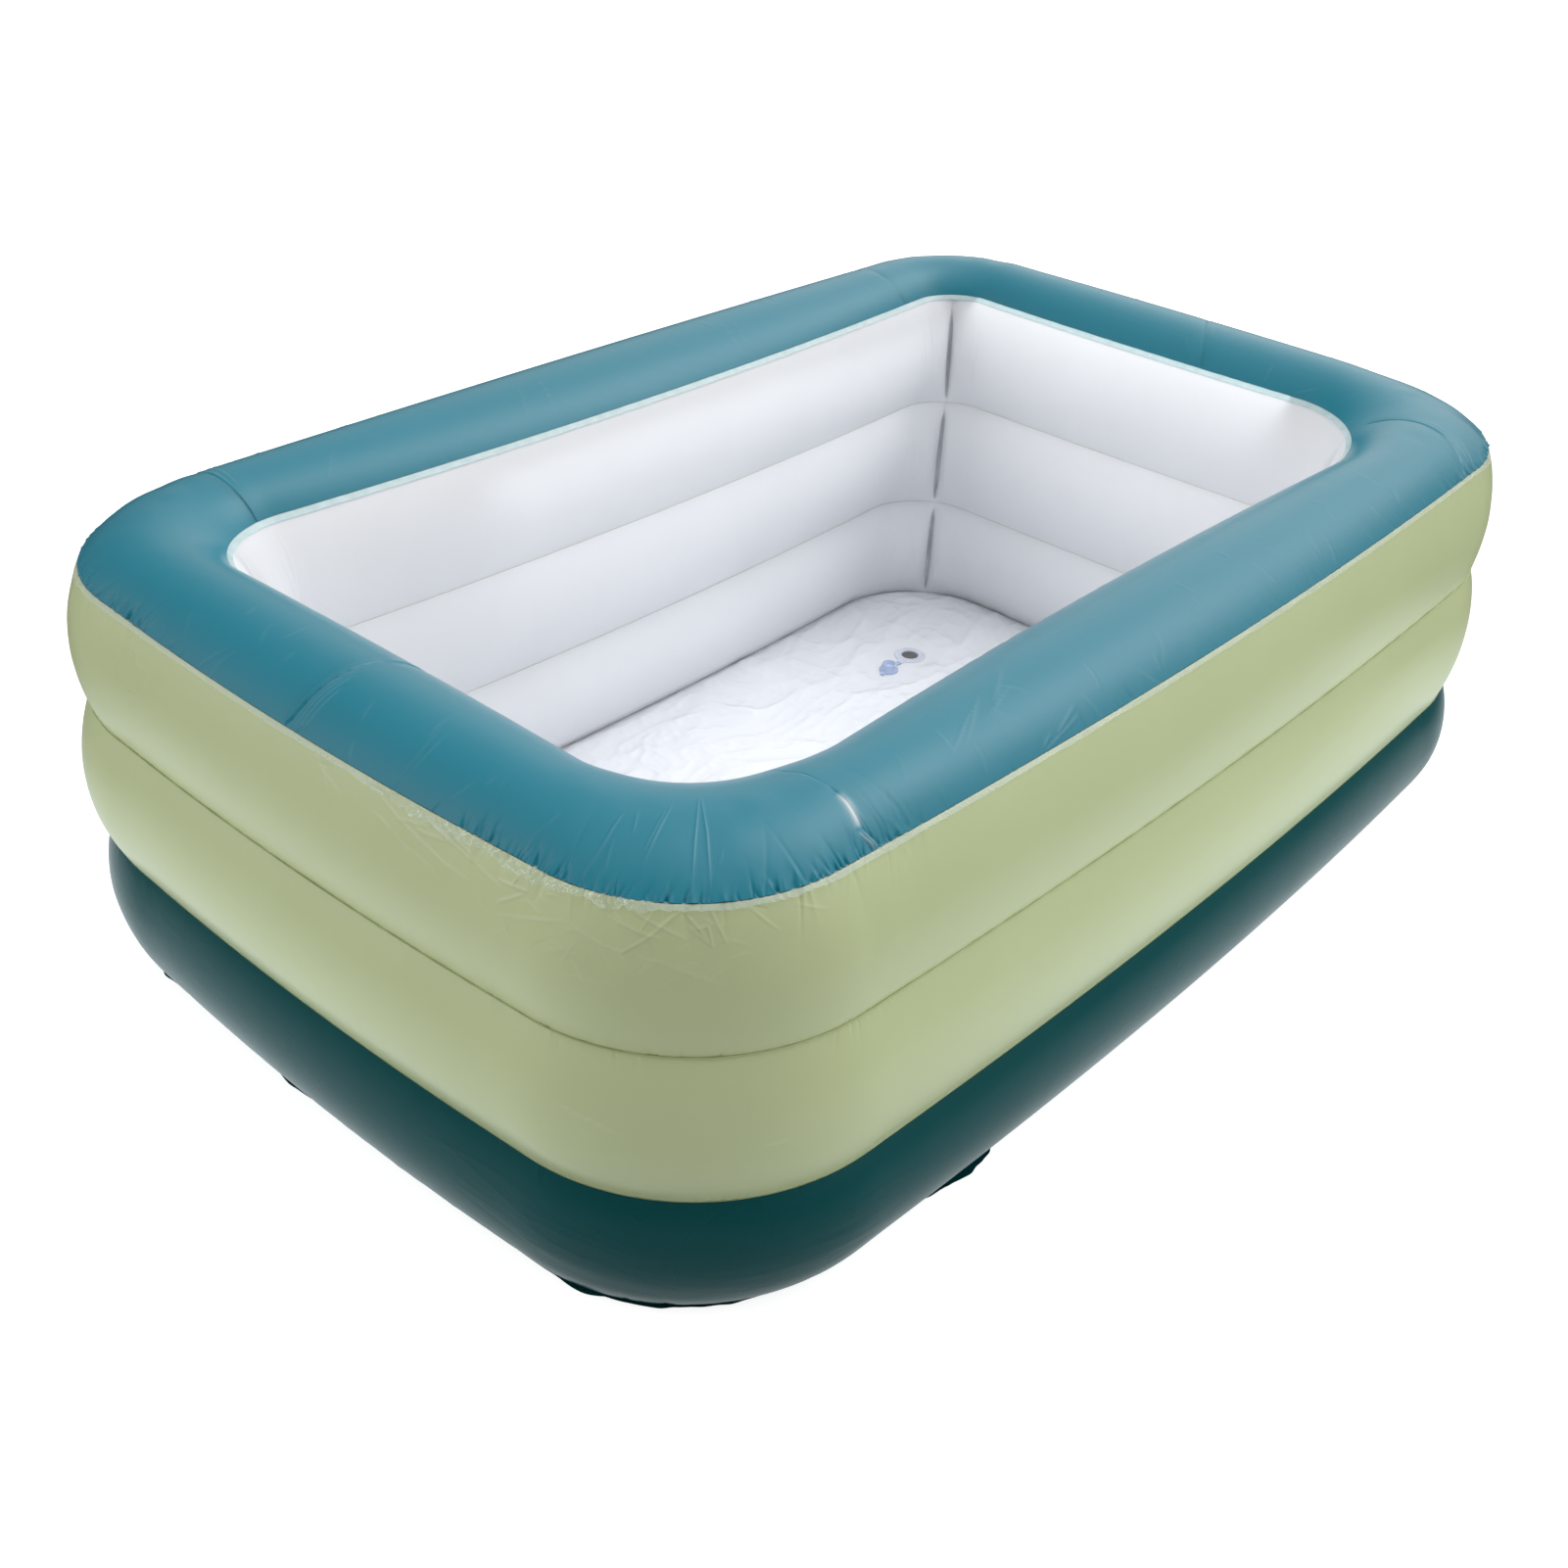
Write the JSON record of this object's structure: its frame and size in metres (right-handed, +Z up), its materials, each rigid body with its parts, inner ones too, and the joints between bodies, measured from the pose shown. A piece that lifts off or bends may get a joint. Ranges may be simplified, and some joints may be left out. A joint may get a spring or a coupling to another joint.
{
  "type": "inflatable family pool",
  "caption": "Rectangular inflatable pool with stacked air rings, soft rim, vinyl floor with a drain and stopper, and an air valve on each ring.",
  "frame": {"origin": "on the ground under the middle of the pool", "axes": "+Z up, +X along the long side towards the end with the drain and the air valves, +Y along the short side"},
  "size_m": [2.1066, 1.3918, 0.6497],
  "materials": {
    "teal_vinyl": "soft satin vinyl film with fine wrinkles",
    "light_green_vinyl": "soft satin vinyl film",
    "dark_green_vinyl": "soft satin vinyl film",
    "white_vinyl": "soft satin vinyl film",
    "floor_vinyl": "glossy wrinkled vinyl film",
    "clear_vinyl": "clear welded vinyl",
    "drain_seat_plastic": "moulded soft plastic, translucent",
    "valve_plastic": "moulded soft plastic, translucent",
    "stopper_plastic": "moulded soft plastic, pale blue"
  },
  "bodies": {
    "root": {"front_corner_rim_panel": "teal_vinyl", "front_rim_panel": "teal_vinyl", "right_corner_rim_panel": "teal_vinyl", "back_corner_rim_panel": "teal_vinyl", "back_rim_panel": "teal_vinyl", "left_corner_rim_panel": "teal_vinyl", "top_ring_outer_wall": "light_green_vinyl", "middle_ring_outer_wall": "light_green_vinyl", "bottom_ring_outer_wall": "dark_green_vinyl", "top_ring_basin_wall": "white_vinyl", "middle_ring_basin_wall": "white_vinyl", "bottom_ring_basin_wall": "white_vinyl", "upper_partition_sheet": "light_green_vinyl", "lower_partition_sheet": "light_green_vinyl", "base_sheet": "dark_green_vinyl", "floor_sheet": "floor_vinyl", "outer_rim_weld_strip": "clear_vinyl", "inner_rim_weld_strip": "clear_vinyl", "drain_seat": "drain_seat_plastic", "top_valve_seat": "valve_plastic", "middle_valve_seat": "valve_plastic", "bottom_valve_seat": "valve_plastic"},
    "drain_stopper": {"drain_stopper": "stopper_plastic"},
    "top_neck": {"top_valve_neck": "valve_plastic"},
    "top_stopper": {"top_valve_stopper": "stopper_plastic"},
    "top_flap": {"top_valve_flap": "valve_plastic"},
    "middle_neck": {"middle_valve_neck": "valve_plastic"},
    "middle_stopper": {"middle_valve_stopper": "stopper_plastic"},
    "middle_flap": {"middle_valve_flap": "valve_plastic"},
    "bottom_neck": {"bottom_valve_neck": "valve_plastic"},
    "bottom_stopper": {"bottom_valve_stopper": "stopper_plastic"},
    "bottom_flap": {"bottom_valve_flap": "valve_plastic"}
  },
  "joints": [
    {"name": "drain_stopper_flip", "type": "hinge", "parent": "root", "child": "drain_stopper", "pos_m": [0.50625, 0.26163, 0.0041], "axis": [-0.1149, 0.9934, 0], "range_deg": [0, 180]},
    {"name": "top_neck_slide", "type": "slide", "parent": "root", "child": "top_neck", "axis": [0.9984, 0.0164, 0.0534], "range_m": [0, 0.012]},
    {"name": "top_stopper_flip", "type": "hinge", "parent": "top_neck", "child": "top_stopper", "pos_m": [1.04529, 0.08552, 0.50083], "axis": [-0.0164, 0.9999, -0.0009], "range_deg": [0, 150]},
    {"name": "top_flap_swing", "type": "hinge", "parent": "top_neck", "child": "top_flap", "pos_m": [1.02488, 0.0852, 0.51646], "axis": [-0.0164, 0.9999, -0.0009], "range_deg": [0, 45]},
    {"name": "middle_neck_slide", "type": "slide", "parent": "root", "child": "middle_neck", "axis": [0.9998, 0.0155, -0.0142], "range_m": [0, 0.012]},
    {"name": "middle_stopper_flip", "type": "hinge", "parent": "middle_neck", "child": "middle_stopper", "pos_m": [1.05442, 0.0856, 0.29906], "axis": [-0.0155, 0.9999, 0.0002], "range_deg": [0, 150]},
    {"name": "middle_flap_swing", "type": "hinge", "parent": "middle_neck", "child": "middle_flap", "pos_m": [1.03511, 0.08529, 0.31604], "axis": [-0.0155, 0.9999, 0.0002], "range_deg": [0, 45]},
    {"name": "bottom_neck_slide", "type": "slide", "parent": "root", "child": "bottom_neck", "axis": [0.9917, 0.016, -0.1273], "range_m": [0, 0.012]},
    {"name": "bottom_stopper_flip", "type": "hinge", "parent": "bottom_neck", "child": "bottom_stopper", "pos_m": [1.03937, 0.08567, 0.08813], "axis": [-0.0159, 0.9999, 0.002], "range_deg": [0, 150]},
    {"name": "bottom_flap_swing", "type": "hinge", "parent": "bottom_neck", "child": "bottom_flap", "pos_m": [1.02211, 0.08536, 0.10718], "axis": [-0.0159, 0.9999, 0.002], "range_deg": [0, 45]}
  ]
}
